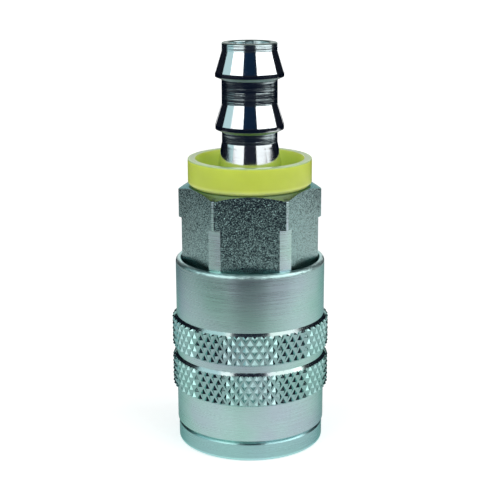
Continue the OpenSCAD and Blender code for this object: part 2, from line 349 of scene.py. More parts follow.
@dataclass(frozen=True)
class PlatedBar:
    """Drawn bar under zinc, left as it came from the bath in fine crystals.

    Each crystal tilts its own way, so a flat that faces a dark room sparkles on black, and
    one that faces a lamp turns an even matt grey. The real crystals are a few hundredths of
    a millimetre across, and are drawn about three times as coarse to show at all.
    """

    name: str
    colour: str = "#A0C2BF"
    roughness: float = 0.2
    crystal: float = 0.1
    tilt: float = 0.6

    def material(self) -> bpy.types.Material:
        """Builds the crystalline zinc's nodes and gives the new material."""
        material, tree, shader = blank_material(self.name)
        crystals = add_node(tree, "ShaderNodeTexVoronoi", {
            "Vector": object_space(tree), "Scale": per_mm(self.crystal)})
        lean = add_node(tree, "ShaderNodeVectorMath", {
            0: crystals.outputs["Color"], 1: (0.5, 0.5, 0.5)}, operation="SUBTRACT")
        # Most crystals lie nearly flat, and a few lean much further
        reach = add_node(tree, "ShaderNodeMath", {
            0: length_of(tree, lean.outputs["Vector"]), 1: self.tilt}, operation="MULTIPLY")
        leaned = add_node(tree, "ShaderNodeVectorMath", {
            0: lean.outputs["Vector"], "Scale": reach.outputs["Value"]}, operation="SCALE")
        facing = add_node(tree, "ShaderNodeVectorMath", {
            0: add_node(tree, "ShaderNodeNewGeometry").outputs["Normal"],
            1: leaned.outputs["Vector"]}, operation="ADD")
        normal = add_node(tree, "ShaderNodeVectorMath", {0: facing.outputs["Vector"]},
                          operation="NORMALIZE")
        fill(tree, shader, {
            "Metallic": 1.0, "Base Color": linear(self.colour), "Roughness": self.roughness,
            "Normal": normal.outputs["Vector"]})
        return material


@dataclass(frozen=True)
class MouldedPlastic:
    """Soft polyethylene with a yellow-green pigment, moulded against a fine polish.

    Light enters the thin wall and comes out again, so the cup glows. Its foot, rim and inside
    are painted light over the pigment: the foot is painted pale for that glow and for a painted
    reflection of the floor below it, the rim is painted greyer as a painted reflection of the sky
    on its top, and the inside is painted paler for light through the wall into the shaded cup.
    """

    name: str
    # Painted light: the pale underside, for the glow and the floor's reflection below it
    foot: str = "#E0EC8C"
    colour: str = "#C2CF59"
    # Painted reflection: the greyer rim top, for the sky that it mirrors
    rim: str = "#9DB582"
    # Painted light: the paler inside of the cup, for light through the wall
    lit_lining: str = "#D8E880"
    foot_z: float = 44.6
    foot_fade: float = 0.3
    rim_z: float = 48.1
    lining_r: float = 9.1
    fade: float = 0.15
    flow_size: float = 4.0
    skin_size: float = 0.35
    glow: float = 1.0
    depth: float = 2.2
    roughness: float = 0.28

    def material(self) -> bpy.types.Material:
        """Builds the plastic's nodes and gives the new material."""
        material, tree, shader = blank_material(self.name)
        axes = add_node(tree, "ShaderNodeSeparateXYZ", {"Vector": object_space(tree)}).outputs
        flat = add_node(tree, "ShaderNodeCombineXYZ", {"X": axes["X"], "Y": axes["Y"]})
        radius = length_of(tree, flat.outputs["Vector"])
        # Painted light: the foot, rim and inside colours are laid over the plastic's own colour by
        # height and radius
        colour_with_painted_light = linear(self.foot)
        for colour, value, start, end in (
                (self.colour, axes["Z"], self.foot_z - self.foot_fade,
                 self.foot_z + self.foot_fade),
                (self.rim, axes["Z"], self.rim_z, self.rim_z + self.fade),
                (self.lit_lining, radius, self.lining_r, self.lining_r - self.fade)):
            share = remapped(tree, value, start * MM, end * MM)
            colour_with_painted_light = mixed(tree, share, colour_with_painted_light, linear(colour))
        shade = remapped(tree, clouds(tree, self.flow_size), 0.3, 0.7, 0.94, 1.03)
        fill(tree, shader, {
            "Base Color": mixed(tree, 1.0, colour_with_painted_light, shade, "MULTIPLY"),
            "Normal": embossed(tree, clouds(tree, self.skin_size), 0.01, strength=0.2),
            "Roughness": self.roughness, "IOR": 1.51, "Subsurface Weight": self.glow,
            "Subsurface Radius": (1.0, 1.0, 0.6), "Subsurface Scale": self.depth * MM})
        return material


@dataclass(frozen=True)
class NitrileRubber:
    """Moulded nitrile rubber: near black, with a dull grease-grey sheen."""

    name: str
    colour: str = "#1C1D1E"
    roughness: float = 0.55
    bloom_size: float = 0.6
    swing: float = 0.15

    def material(self) -> bpy.types.Material:
        """Builds the rubber's nodes and gives the new material."""
        material, tree, shader = blank_material(self.name)
        bloom = clouds(tree, self.bloom_size, detail=3.0, roughness=0.6)
        fill(tree, shader, {
            "Base Color": linear(self.colour), "IOR": 1.52,
            "Roughness": remapped(tree, bloom, 0.0, 1.0, self.roughness - self.swing,
                                  self.roughness + self.swing),
            "Normal": embossed(tree, bloom, 0.01, strength=0.3)})
        return material


# Silky, with soft upright bands: the sleeve's turned walls
ZINC_SLEEVE = PlatedSteel("zinc_plated_turned_sleeve")
# Crisp little mirrors: rolled points have no feed marks
ZINC_KNURL = PlatedSteel("zinc_plated_knurl", colour="#9CC2BF", cast_cool="#95C1BA",
                         cast_warm="#A2BFC1", spread=0.0, roughness=0.12, ring_height=0.0)
# Hard bright and dark arcs: the bevels above the grip bands, cut with a fresh tool
ZINC_SLOPE = PlatedSteel("zinc_plated_turned_slope", colour="#CDE0DE", cast_cool="#C4E0D8",
                         cast_warm="#CEDCE2", spread=0.0, roughness=0.13,
                         ring_height=0.002)
# A soft pale rim: the lip is tumbled round, and its crystals blur the lamps
ZINC_LIP = PlatedBar("zinc_plated_rounded_lip", colour="#BFE0DD", roughness=0.3, crystal=0.07,
                     tilt=0.9)
# Greener and more even than the sleeve: the flange, whose green is a painted teal reflection of
# what lies round its foot
ZINC_BODY_PAINTED_TEAL = PlatedSteel("zinc_plated_turned_body_painted_teal", colour="#A8D4D3", cast_cool="#A4D3CF",
                        cast_warm="#AAD1D5", cast_size=12.0)
# Palest of the zinc: the narrow turned strips between the hexagon's flats
ZINC_SKIRT = PlatedSteel("zinc_plated_turned_skirt", colour="#D4F2EE", cast_cool="#C8F0E2",
                         cast_warm="#D6E8F0", cast_size=6.0)
# Bluish and darker: painted shade on the bevel under the collar, for the dark gap that it mirrors
ZINC_BEVEL_PAINTED_SHADE = PlatedSteel("zinc_plated_turned_bevel_painted_shade", colour="#92A6AE", cast_cool="#8CA4A8",
                         cast_warm="#98A6B0", cast_size=6.0, roughness=0.22)
# Sparkle on dark grey: the hexagon's drawn flats
ZINC_FLATS = PlatedBar("zinc_plated_drawn_bar")
# Black and white mirror bands: the barbs' burnished cones
STEEL_CONE = BrightSteel("burnished_steel_barb", ring_height=0.0005, wander=0.02)
# Dark, with glints drawn out round the stem: deep feed marks between the barbs
STEEL_NECK = BrightSteel("fine_turned_steel_neck", colour="#CFE0E2", roughness=0.1,
                         ring_pitch=0.4, ring_length=16.0, ring_height=0.045, wander=0.1)
# Mirror bands with a slight haze: the third barb
STEEL_FOOT = BrightSteel("coarse_turned_steel_foot", roughness=0.08, ring_pitch=0.3,
                         ring_height=0.001, wander=0.06)
# Dull green-grey: the backs of the barbs, rough from the grooving tool and painted dark as painted
# shade where they face down under each barb
STEEL_BACK_PAINTED_SHADE = BrightSteel("grooved_steel_back_painted_shade", colour="#66807A", roughness=0.16, ring_pitch=0.3,
                         ring_height=0.002, wander=0.1)
# A grey ring: the stem's faced end
STEEL_END = BrightSteel("faced_steel_end", colour="#80958F", roughness=0.34, ring_pitch=0.3,
                        ring_height=0.004, wander=0.1)
# Plain matt grey: a washer punched from sheet
STAMPED_STEEL = PlatedSteel("stamped_steel", colour="#B4B8BA", cast_cool="#B0B6B8",
                            cast_warm="#B8B7B5", spread=0.0, ring_height=0.004)
# Mid grey with a drawn gloss: spring wire
SPRING_WIRE = PlatedSteel("drawn_spring_wire", colour="#9DA1A3", cast_cool="#999FA2",
                          cast_warm="#A3A19E", spread=0.0, roughness=0.26, ring_pitch=0.4,
                          ring_height=0.004)
# Warm yellow with turned rings: the valve
TURNED_BRASS = PlatedSteel("turned_brass", colour="#D3AE60", cast_cool="#CBAE66",
                           cast_warm="#D6A958", roughness=0.24, ring_pitch=0.2)
# A clean mirror: lapped balls
BALL_STEEL = BrightSteel("polished_ball_steel", colour="#E2E4E6", roughness=0.05,
                         ring_pitch=1.5, ring_height=0.0003, wander=0.03)
# Yellow-green plastic, with painted light on its foot, rim and inside
COLLAR_PLASTIC = MouldedPlastic("yellow_green_polyethylene")
SEAL_RUBBER = NitrileRubber("moulded_nitrile_rubber")

Finish = PlatedSteel | BrightSteel | PlatedBar | MouldedPlastic | NitrileRubber


@cache
def material_of(finish: Finish) -> bpy.types.Material:
    """Gives the one material of a finish, built at its first use."""
    return finish.material()


@dataclass(frozen=True)
class Corner:
    """A corner of a turned section: its radius, its height and the radius of its rounding."""

    r: float
    z: float
    fillet: float = 0.0


def rounded_section(section: Sequence[Corner]) -> bmesh.types.BMesh:
    """Draws a closed section in the plane y = 0 and rounds its corners.

    Args:
        section: The section's corners in order.

    Returns:
        A mesh that holds the section's outline as wire.
    """
    bm = bmesh.new()
    verts = [bm.verts.new((c.r * MM, 0, c.z * MM)) for c in section]
    bm.faces.new(verts)
    flat = [Vector((c.r, c.z)) for c in section]
    for i, corner in enumerate(section):
        if not corner.fillet:
            continue
        before = flat[i] - flat[i - 1]
        after = flat[(i + 1) % len(flat)] - flat[i]
        turn = abs(before.angle_signed(after))
        steps = max(2, round(FILLET_STEPS * turn / (math.pi / 2)))
        bmesh.ops.bevel(bm, geom=[verts[i]], offset=corner.fillet * math.tan(turn / 2) * MM,
                        offset_type="OFFSET", segments=steps, profile=0.5, affect="VERTICES",
                        material=-1)
    bmesh.ops.delete(bm, geom=bm.faces[:], context="FACES_ONLY")
    return bm


def turned(section: Sequence[Corner], steps: int = TURNED_STEPS) -> bmesh.types.BMesh:
    """Turns a closed section round the Z axis.

    Args:
        section: The section's corners in order.
        steps: Facets round the axis.

    Returns:
        The closed solid.
    """
    bm = rounded_section(section)
    bmesh.ops.spin(bm, geom=bm.verts[:] + bm.edges[:], cent=(0, 0, 0), axis=(0, 0, 1),
                   dvec=(0, 0, 0), angle=math.tau, steps=steps, use_merge=True)
    return closed(bm)


def closed(bm: bmesh.types.BMesh) -> bmesh.types.BMesh:
    """Merges a mesh's doubled vertices and turns its faces outwards.

    Args:
        bm: The mesh to mend.

    Returns:
        The same mesh.
    """
    bmesh.ops.remove_doubles(bm, verts=bm.verts[:], dist=MERGE_GAP)
    bmesh.ops.dissolve_degenerate(bm, edges=bm.edges[:], dist=MERGE_GAP)
    bmesh.ops.recalc_face_normals(bm, faces=bm.faces[:])
    return bm


def painted(bm: bmesh.types.BMesh, finishes: Sequence[Finish],
            finish_of: Callable[[Vector, Vector], Finish]) -> bmesh.types.BMesh:
    """Gives each face its material.

    Args:
        bm: The mesh to paint.
        finishes: The finishes of the mesh's materials, in order.
        finish_of: Finds a finish from a face's centre in millimetres and its direction.

    Returns:
        The same mesh.
    """
    number_of = {finish: number for number, finish in enumerate(finishes)}
    for face in bm.faces:
        finish = finish_of(face.calc_center_median() / MM, face.normal)
        face.material_index = number_of[finish]
    return bm


def placed(name: str, bm: bmesh.types.BMesh) -> bpy.types.Object:
    """Puts a mesh into the scene.

    Args:
        name: Name of the new object.
        bm: The mesh, which is used up.

    Returns:
        The object, at the origin.
    """
    mesh = bpy.data.meshes.new(name)
    bm.to_mesh(mesh)
    bm.free()
    obj = bpy.data.objects.new(name, mesh)
    bpy.context.scene.collection.objects.link(obj)
    return obj


def made(name: str, bm: bmesh.types.BMesh, finishes: Sequence[Finish]) -> bpy.types.Object:
    """Makes a piece of a mesh, shaded smooth between its sharp edges.

    Args:
        name: The piece's name.
        bm: The mesh, which is used up.
        finishes: The finishes of the mesh's materials, in order.

    Returns:
        The piece, at the origin.
    """
    piece = placed(name, bm)
    piece.data.shade_smooth()
    piece.data.set_sharp_from_angle(angle=SHARP_ANGLE)
    for finish in finishes:
        piece.data.materials.append(material_of(finish))
    return piece


def joined(base: bmesh.types.BMesh, tools: Sequence[bmesh.types.BMesh],
           operation: str) -> bmesh.types.BMesh:
    """Adds, cuts or intersects closed meshes exactly, one after the other.

    Once in many runs the solver loses a part. It then works again, and is told to look
    out for holes.

    Args:
        base: The mesh that is worked on, which is used up.
        tools: The meshes that work on it, which are used up.
        operation: UNION, DIFFERENCE or INTERSECT.

    Returns:
        The new closed mesh.
    """
    volumes = [bm.calc_volume() for bm in (base, *tools)]
    low, high = {
        "UNION": (max(volumes), sum(volumes)),
        "DIFFERENCE": (2 * volumes[0] - sum(volumes), volumes[0]),
        "INTERSECT": (0.0, min(volumes))}[operation]
    objects = [placed("blank", bm) for bm in (base, *tools)]
    for tool in objects[1:]:
        modifier = objects[0].modifiers.new("cut", "BOOLEAN")
        modifier.object = tool
        modifier.operation = operation
        modifier.solver = "EXACT"
    for tolerant in (False, True):
        for modifier in objects[0].modifiers:
            modifier.use_hole_tolerant = tolerant
        result = bmesh.new()
        result.from_object(objects[0], bpy.context.evaluated_depsgraph_get())
        if low < result.calc_volume() < high:
            break
        log.warning("%s gave an impossible volume", operation)
    for obj in objects:
        bpy.data.meshes.remove(obj.data)
    return closed(result)


def seated(piece: bpy.types.Object, body: str, slot: Slot, *nodes: str) -> bpy.types.Object:
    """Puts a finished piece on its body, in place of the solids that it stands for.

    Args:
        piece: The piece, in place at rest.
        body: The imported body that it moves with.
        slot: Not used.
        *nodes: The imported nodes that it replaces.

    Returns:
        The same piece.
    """
    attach(piece, body)
    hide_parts(*nodes)
    log.info("%s rides on %s for %s", piece.name, body, ", ".join(nodes))
    return piece


@dataclass
class HoseAdapter:
    """The hexagon with its turned skirt, and the barbed stem that the hose is pushed over."""

    hex_flat: float = 10.32
    skirt_z: float = 26.0
    skirt_r: float = 11.3465
    step_z: float = 38.44
    corner_r: float = 11.8065
    bevel_z: float = 43.1029
    hex_top: float = 43.87
    thread_bore: float = 7.535
    gasket_top: float = 33.8
    chamber_r: float = 6.095
    chamber_end: float = 38.0
    bore_r: float = 3.4
    neck_r: float = 4.54
    barb_r: float = 5.6
    foot_r: float = 5.2
    barb_land: float = 0.73
    barb_cone: float = 3.45
    barb_back: float = 0.45
    barb_edges: tuple[float, ...] = (46.83, 53.12, 61.59)
    tip_z: float = 67.05
    tip_edge: float = 0.18
    edge_round: float = 0.05
    ridge_pitch: float = 0.39
    ridge_rise: float = 0.005
    ridge_fall: float = 0.2
    steps: int = 360
    finishes: tuple[Finish, ...] = (
        ZINC_SKIRT, ZINC_FLATS, STEEL_CONE, STEEL_NECK, STEEL_FOOT, STEEL_END, STEEL_BACK_PAINTED_SHADE,
        ZINC_BEVEL_PAINTED_SHADE)

    def stem(self) -> list[Corner]:
        """Gives the stem's outline from the hexagon up to the tip."""
        outline = [Corner(self.neck_r, self.hex_top, 0.1)]
        lowest = self.barb_edges[0]
        for edge in self.barb_edges:
            radius = self.foot_r if edge == lowest else self.barb_r
            cone_z = edge + self.barb_land
            outline += [
                Corner(self.neck_r, edge - self.barb_back, 0.06),
                Corner(radius, edge, 0.12),
                Corner(radius, cone_z, 0.12)]
            if edge == lowest:
                outline += self.ridges(cone_z)
            outline += [Corner(self.neck_r, cone_z + self.barb_cone, 0.4)]
        return outline + [
            Corner(self.neck_r, self.tip_z - self.tip_edge, 0.06),
            Corner(self.neck_r - self.tip_edge, self.tip_z, 0.04)]

    def ridges(self, low: float) -> list[Corner]:
        """Gives the coarse feed marks on the third barb's cone, shaped like saw teeth.

        Args:
            low: Height of the cone's foot.

        Returns:
            The corners between the cone's foot and its top.
        """
        slope = (self.foot_r - self.neck_r) / self.barb_cone
        corners = []
        for i in range(1, int(self.barb_cone / self.ridge_pitch)):
            for share, rise in ((-self.ridge_fall, -self.ridge_rise), (0.0, self.ridge_rise)):
                climb = self.ridge_pitch * (i + share)
                corners.append(Corner(self.foot_r - slope * climb + rise, low + climb))
        return corners

    def section(self) -> list[Corner]:
        """Gives the whole turned section, outside up and bores down."""
        outside = [
            Corner(self.thread_bore, self.skirt_z),
            Corner(self.skirt_r - 0.4, self.skirt_z),
            Corner(self.skirt_r, self.skirt_z + 0.4),
            Corner(self.skirt_r, self.step_z),
            Corner(self.corner_r, self.step_z, 0.06),
            Corner(self.corner_r, self.bevel_z, 0.08),
            Corner(self.hex_flat - 0.02, self.hex_top)]
        inside = [
            Corner(self.bore_r + self.tip_edge, self.tip_z, 0.04),
            Corner(self.bore_r, self.tip_z - self.tip_edge, 0.06),
            Corner(self.bore_r, self.chamber_end, 0.2),
            Corner(self.chamber_r, self.chamber_end),
            Corner(self.chamber_r, self.gasket_top),
            Corner(self.thread_bore, self.gasket_top)]
        return outside + self.stem() + inside

    def sides(self) -> list[Vector]:
        """Gives the directions that the hexagon's six flats face."""
        angles = (math.radians(30 + 60 * i) for i in range(6))
        return [Vector((math.cos(angle), math.sin(angle), 0)) for angle in angles]

    def cut_flats(self, bm: bmesh.types.BMesh) -> None:
        """Cuts the six flats off the turned blank and eases their edges.

        Args:
            bm: The turned blank.
        """
        flats = []
        for normal in self.sides():
            cut = bmesh.ops.bisect_plane(
                bm, geom=bm.verts[:] + bm.edges[:] + bm.faces[:], dist=MERGE_GAP,
                plane_co=normal * self.hex_flat * MM, plane_no=normal, clear_outer=True)
            rim = [e for e in cut["geom_cut"] if isinstance(e, bmesh.types.BMEdge)]
            flats += bmesh.ops.contextual_create(bm, geom=rim)["faces"]
        edges = {e for face in flats for e in face.edges}
        bmesh.ops.bevel(bm, geom=list(edges), offset=self.edge_round * MM, offset_type="OFFSET",
                        segments=2, profile=0.5, affect="EDGES", material=-1,
                        clamp_overlap=True)

    def finish_of(self, centre: Vector, normal: Vector) -> Finish:
        """Finds the finish of a face.

        Args:
            centre: The face's centre in millimetres.
            normal: The face's direction.

        Returns:
            The finish.
        """
        radius = math.hypot(centre.x, centre.y)
        if centre.z < self.hex_top and radius > self.neck_r + OVERRUN:
            # The bevel under the collar takes the darker zinc with painted shade
            if centre.z > self.bevel_z and normal.z > SLANTED:
                return ZINC_BEVEL_PAINTED_SHADE
            outward = max(normal.dot(side) for side in self.sides())
            square = outward > SQUARE_ON and abs(normal.z) < LEVEL
            return ZINC_FLATS if square else ZINC_SKIRT
        if centre.z > self.tip_z - self.tip_edge and normal.z > STEEP:
            return STEEL_END
        # The barbs' undersides take the dark steel with painted shade
        if centre.z > self.hex_top and normal.z < -SLANTED:
            return STEEL_BACK_PAINTED_SHADE
        if radius > self.neck_r + SKIN:
            foot_top = self.barb_edges[0] + self.barb_land + self.barb_cone
            return STEEL_FOOT if centre.z < foot_top else STEEL_CONE
        return STEEL_NECK

    def build(self) -> bpy.types.Object:
        """Builds the adapter, seats it and gives it."""
        bm = turned(self.section(), self.steps)
        self.cut_flats(bm)
        painted(closed(bm), self.finishes, self.finish_of)
        piece = made("hexagon_and_hose_stem", bm, self.finishes)
        return seated(piece, "body", Slot.ADAPTER, "hose_adapter")


@dataclass
class HoseCollar:
    """The plastic cup round the stem's foot, that hides the hose's cut end."""

    hole_r: float = 4.59
    outer_r: float = 10.2
    wall: float = 1.26
    foot_z: float = 43.87
    floor_z: float = 45.17
    top_z: float = 48.34
    bevel: float = 0.55

    def build(self) -> bpy.types.Object:
        """Builds the collar, seats it and gives it."""
        bm = turned([
            Corner(self.hole_r, self.foot_z),
            Corner(self.outer_r - self.bevel, self.foot_z, 0.1),
            Corner(self.outer_r, self.foot_z + self.bevel, 0.12),
            Corner(self.outer_r, self.top_z, 0.15),
            Corner(self.outer_r - self.wall, self.top_z, 0.15),
            Corner(self.outer_r - self.wall, self.floor_z, 0.5),
            Corner(self.hole_r, self.floor_z, 0.1)])
        piece = made("hose_collar_cup", bm, [COLLAR_PLASTIC])
        return seated(piece, "body", Slot.COLLAR, "hose_collar")


@dataclass(frozen=True)
class KnurlBand:
    """A raised grip band: crossing grooves leave small pyramids, and its ends are bevelled."""

    foot_z: float
    head_z: float
    head_bevel: float
    half_pitch: float
    turn: float
    foot_bevel: float = 0.45
    count: int = 56
    point_r: float = 13.2265
    groove_r: float = 12.7665
    floor_r: float = 12.88
    foot_r: float = 12.4165
    core_r: float = 12.0
    core_wall: float = 0.1
    point_flat: float = 0.09
    rows: int = 8

    def knurled(self) -> bmesh.types.BMesh:
        """Rolls the pyramids into a ring that is a row longer than the band at both ends.

        Returns:
            The closed ring.
        """
        first = self.foot_z + self.foot_bevel
        pitch = self.half_pitch
        heights = [first + pitch * row for row in range(-1, self.rows - 1)]
        outline = [Corner(self.core_r, heights[0])]
        outline += [Corner(self.groove_r, z) for z in heights]
        outline += [Corner(self.core_r, heights[-1])]
        columns = 2 * self.count
        bm = turned(outline, columns)
        grooves = []
        points = []
        for vert in bm.verts:
            radius = math.hypot(vert.co.x, vert.co.y)
            if radius < (self.core_r + self.core_wall) * MM:
                continue
            column = round(math.atan2(vert.co.y, vert.co.x) / math.tau * columns)
            row = round((vert.co.z / MM - first) / pitch)
            (grooves if (column + row) % 2 else points).append(vert)
        swell = self.point_r / self.groove_r
        bmesh.ops.scale(bm, vec=(swell, swell, 1), verts=points)
        bmesh.ops.connect_verts(bm, verts=grooves)
        bmesh.ops.bevel(bm, geom=points, offset=self.point_flat * MM, offset_type="OFFSET",
                        segments=1, profile=0.5, affect="VERTICES", material=-1)
        bmesh.ops.rotate(bm, verts=bm.verts[:],
                         matrix=Matrix.Rotation(math.radians(self.turn), 3, "Z"))
        return closed(bm)

    def envelope(self) -> bmesh.types.BMesh:
        """Turns the ring that the pyramids are trimmed to."""
        core, outer = self.core_r + self.core_wall, self.point_r + SKIN
        return turned([
            Corner(core, self.foot_z), Corner(self.foot_r, self.foot_z),
            Corner(outer, self.foot_z + self.foot_bevel),
            Corner(outer, self.head_z - self.head_bevel),
            Corner(self.foot_r, self.head_z), Corner(core, self.head_z)])

    def floor(self) -> bmesh.types.BMesh:
        """Turns the ring that fills the grooves up to their worn floor."""
        core = self.core_r + self.core_wall / 2
        low, high = self.foot_z - OVERRUN, self.head_z + OVERRUN
        return turned([Corner(core, low), Corner(self.floor_r, low),
                       Corner(self.floor_r, high), Corner(core, high)])

    def build(self) -> bmesh.types.BMesh:
        """Gives the trimmed band as a closed ring."""
        return joined(self.envelope(), [joined(self.knurled(), [self.floor()], "UNION")],
                      "INTERSECT")


@dataclass
class ReleaseSleeve:
    """The sleeve that slides back to let the plug go, with two grip bands."""

    outer_r: float = 12.4465
    foot_z: float = 3.2
    top_z: float = 31.7
    lip_round: float = 0.7
    foot_bevel: float = 0.3
    pocket_r: float = 11.5465
    shoulder_z: float = 14.0
    cam_r: float = 8.145
    cam_z: float = 8.807
    relief_r: float = 9.325
    relief_z: float = 4.354
    lip_start: float = 0.2
    bands: tuple[KnurlBand, ...] = (
        KnurlBand(foot_z=9.55, head_z=15.4, head_bevel=0.82, half_pitch=1.08, turn=-1.2),
        KnurlBand(foot_z=16.5, head_z=22.1, head_bevel=0.75, half_pitch=1.1, turn=3.2))
    finishes: tuple[Finish, ...] = (ZINC_SLEEVE, ZINC_KNURL, ZINC_SLOPE, ZINC_LIP)

    def finish_of(self, centre: Vector, normal: Vector) -> Finish:
        """Finds the finish of a face.

        Args:
            centre: The face's centre in millimetres.
            normal: The face's direction.

        Returns:
            The finish.
        """
        radius = math.hypot(centre.x, centre.y)
        if radius > self.outer_r + 3 * SKIN:
            outward = (normal.x * centre.x + normal.y * centre.y) / radius
            sideways = math.hypot(normal.x, normal.y) ** 2 - outward ** 2
            if sideways > LEVEL or abs(normal.z) < 2 * LEVEL:
                return ZINC_KNURL
        if radius > self.pocket_r + self.lip_start and centre.z > self.top_z - self.lip_round:
            return ZINC_LIP
        return ZINC_SLOPE if 10 * LEVEL < normal.z < 1 - LEVEL else ZINC_SLEEVE

    def build(self) -> bpy.types.Object:
        """Builds the sleeve, seats it and gives it."""
        blank = turned([
            Corner(self.relief_r, self.foot_z, 0.1),
            Corner(self.outer_r - self.foot_bevel, self.foot_z, 0.05),
            Corner(self.outer_r, self.foot_z + self.foot_bevel, 0.05),
            Corner(self.outer_r, self.top_z, self.lip_round),
            Corner(self.pocket_r, self.top_z, 0.15),
            Corner(self.pocket_r, self.shoulder_z, 0.2),
            Corner(self.cam_r, self.shoulder_z, 0.1),
            Corner(self.cam_r, self.cam_z, 0.3),
            Corner(self.relief_r, self.relief_z, 0.3)])
        bm = joined(blank, [band.build() for band in self.bands], "UNION")
        painted(bm, self.finishes, self.finish_of)
        piece = made("knurled_release_sleeve", bm, self.finishes)
        return seated(piece, "sleeve", Slot.SLEEVE, "release_sleeve")


@dataclass
class SocketBody:
    """The socket that takes the plug, with its flange, ball holes and valve chamber."""

    flange_r: float = 12.2665
    flange_h: float = 3.2
    flange_round: float = 0.25
    flange_bevel: float = 0.45
    barrel_r: float = 8.095
    barrel_end: float = 26.0
    thread_r: float = 7.495
    end_z: float = 33.0
    mouth_r: float = 6.2
    mouth_bevel: float = 0.7
    mouth_end: float = 5.2
    socket_r: float = 6.0
    socket_start: float = 5.4
    socket_end: float = 13.0
    tip_bore_r: float = 4.1
    groove_r: float = 5.8
    groove_low: float = 15.9
    groove_high: float = 17.9
    rim_r: float = 4.9
    seat_z: float = 20.6
    chamber_r: float = 6.095
    chamber_z: float = 20.0
    ball_z: float = 8.6
    ball_track_r: float = 6.5275
    ball_hole_r: float = 1.6735
    ball_seat_angle: float = 15.0
    ball_count: int = 6
    hole_steps: int = 64

    def ball_hole(self, number: int) -> bmesh.types.BMesh:
        """Gives the drill of one ball's hole: straight outside, narrowing into the socket.

        Args:
            number: The ball's number, from 0.

        Returns:
            The drill as a closed mesh.
        """
        narrow = self.ball_track_r - self.socket_r + 2 * OVERRUN
        tip_r = self.ball_hole_r - narrow * math.tan(math.radians(self.ball_seat_angle))
        end = narrow + self.barrel_r
        bm = turned([
            Corner(0, 0), Corner(tip_r, 0), Corner(self.ball_hole_r, narrow),
            Corner(self.ball_hole_r, end), Corner(0, end)], self.hole_steps)
        place = (Matrix.Rotation(math.tau * number / self.ball_count, 4, "Z")
                 @ Matrix.Translation(((self.ball_track_r - narrow) * MM, 0, self.ball_z * MM))
                 @ Matrix.Rotation(math.radians(90), 4, "Y"))
        bmesh.ops.transform(bm, matrix=place, verts=bm.verts[:])
        return bm

    def build(self) -> bpy.types.Object:
        """Builds the socket body and seats it.

        Returns:
            The piece.
        """
        blank = turned([
            Corner(self.mouth_r + self.mouth_bevel, 0, 0.1),
            Corner(self.flange_r, 0, self.flange_round),
            Corner(self.flange_r, self.flange_h - self.flange_bevel, 0.12),
            Corner(self.flange_r - self.flange_bevel, self.flange_h, 0.08),
            Corner(self.barrel_r, self.flange_h, 0.1),
            Corner(self.barrel_r, self.barrel_end, 0.1),
            Corner(self.thread_r, self.barrel_end, 0.1),
            Corner(self.thread_r, self.end_z, 0.3),
            Corner(self.chamber_r, self.end_z, 0.1),
            Corner(self.chamber_r, self.chamber_z, 0.1),
            Corner(self.rim_r, self.chamber_z, 0.05),
            Corner(self.rim_r, self.seat_z, 0.1),
            Corner(self.tip_bore_r, self.seat_z, 0.1),
            Corner(self.tip_bore_r, self.groove_high, 0.1),
            Corner(self.groove_r, self.groove_high, 0.1),
            Corner(self.groove_r, self.groove_low, 0.1),
            Corner(self.tip_bore_r, self.groove_low, 0.1),
            Corner(self.tip_bore_r, self.socket_end + self.socket_r - self.tip_bore_r, 0.2),
            Corner(self.socket_r, self.socket_end, 0.2),
            Corner(self.socket_r, self.socket_start, 0.1),
            Corner(self.mouth_r, self.mouth_end, 0.1),
            Corner(self.mouth_r, self.mouth_bevel, 0.1)])
        drills = [self.ball_hole(i) for i in range(self.ball_count)]
        bm = joined(blank, drills, "DIFFERENCE")
        # The flange's zinc carries a painted teal reflection
        piece = made("socket_body_with_flange", bm, [ZINC_BODY_PAINTED_TEAL])
        return seated(piece, "body", Slot.BODY, "socket_body")


@dataclass
class CoilSpring:
    """A wire spring with closed end turns."""

    name: str
    node: str
    joint: str
    low: float
    high: float
    coil_r: float
    wire_r: float
    turns: float
    travel: float
    closed_pitch: float = 1.05
    turn_steps: int = 48
    wire_sides: int = 16

    def build(self) -> bpy.types.Object:
        """Sweeps the wire up the coil and seats it.

        Returns:
            The piece.
        """
        closed_rise = 2 * self.wire_r * self.closed_pitch
        start = self.low + self.wire_r + SKIN
        rise = self.high - self.low - 2 * (self.wire_r + SKIN) - 2 * closed_rise
        bm = bmesh.new()
        bmesh.ops.create_circle(bm, cap_ends=True, radius=self.wire_r * MM,
                                segments=self.wire_sides)
        place = (Matrix.Translation((self.coil_r * MM, 0, start * MM))
                 @ Matrix.Rotation(math.radians(90), 4, "X"))
        bmesh.ops.transform(bm, matrix=place, verts=bm.verts[:])
        tip = bm.faces[:]
        for turns, height in ((1, closed_rise), (self.turns - 2, rise), (1, closed_rise)):
            steps = round(turns * self.turn_steps)
            swept = bmesh.ops.spin(
                bm, geom=tip, cent=(0, 0, 0), axis=(0, 0, 1),
                dvec=(0, 0, height * MM / steps), angle=math.tau * turns, steps=steps)
            tip = [g for g in swept["geom_last"] if isinstance(g, bmesh.types.BMFace)]
        piece = made(self.name, closed(bm), [SPRING_WIRE])
        seated(piece, "body", Slot.WIRE, self.node)
        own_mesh(piece)
        return piece


